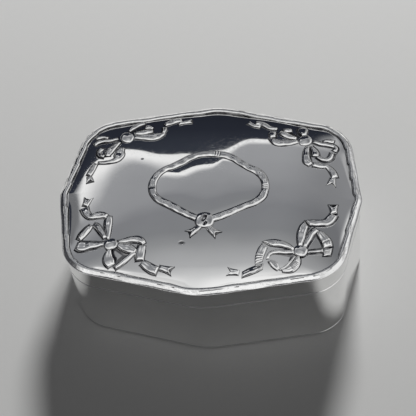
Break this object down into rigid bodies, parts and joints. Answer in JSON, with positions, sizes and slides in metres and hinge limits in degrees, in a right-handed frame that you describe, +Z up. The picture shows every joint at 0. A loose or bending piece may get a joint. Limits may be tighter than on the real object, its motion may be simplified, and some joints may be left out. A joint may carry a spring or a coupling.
{
  "type": "hinged trinket box",
  "caption": "Low silver trinket box with pointed sides and rounded corners, a hinged cushion lid stamped with ribbon bows and a tied ribbon cartouche inside a ribbon border.",
  "frame": {"origin": "centre of the underside, under the middle of the lid's plan", "axes": "+X to the right along the box's length, +Y to the back where the hinge is, +Z up"},
  "size_m": [0.1098, 0.086, 0.0414],
  "materials": {
    "polished_silver": "polished silver with fine wear",
    "inner_silver": "satin silver",
    "pin_steel": "plain drawn wire"
  },
  "bodies": {
    "box": {"base_plate": "polished_silver", "body_wall": "polished_silver", "body_bezel": "inner_silver", "body_hinge_bearer": "polished_silver", "hinge_pin": "pin_steel", "body_knuckle_1": "polished_silver", "body_knuckle_3": "polished_silver", "body_knuckle_5": "polished_silver"},
    "lid": {"lid_plate": "polished_silver", "lid_border": "polished_silver", "lid_skirt": "polished_silver", "lid_hinge_bearer": "polished_silver", "lid_knuckle_2": "polished_silver", "lid_knuckle_4": "polished_silver"}
  },
  "joints": [
    {"name": "lid_hinge", "type": "hinge", "parent": "box", "child": "lid", "pos_m": [0, 0.0424, 0.0272], "axis": [-1, 0, 0], "range_deg": [0, 105]}
  ]
}
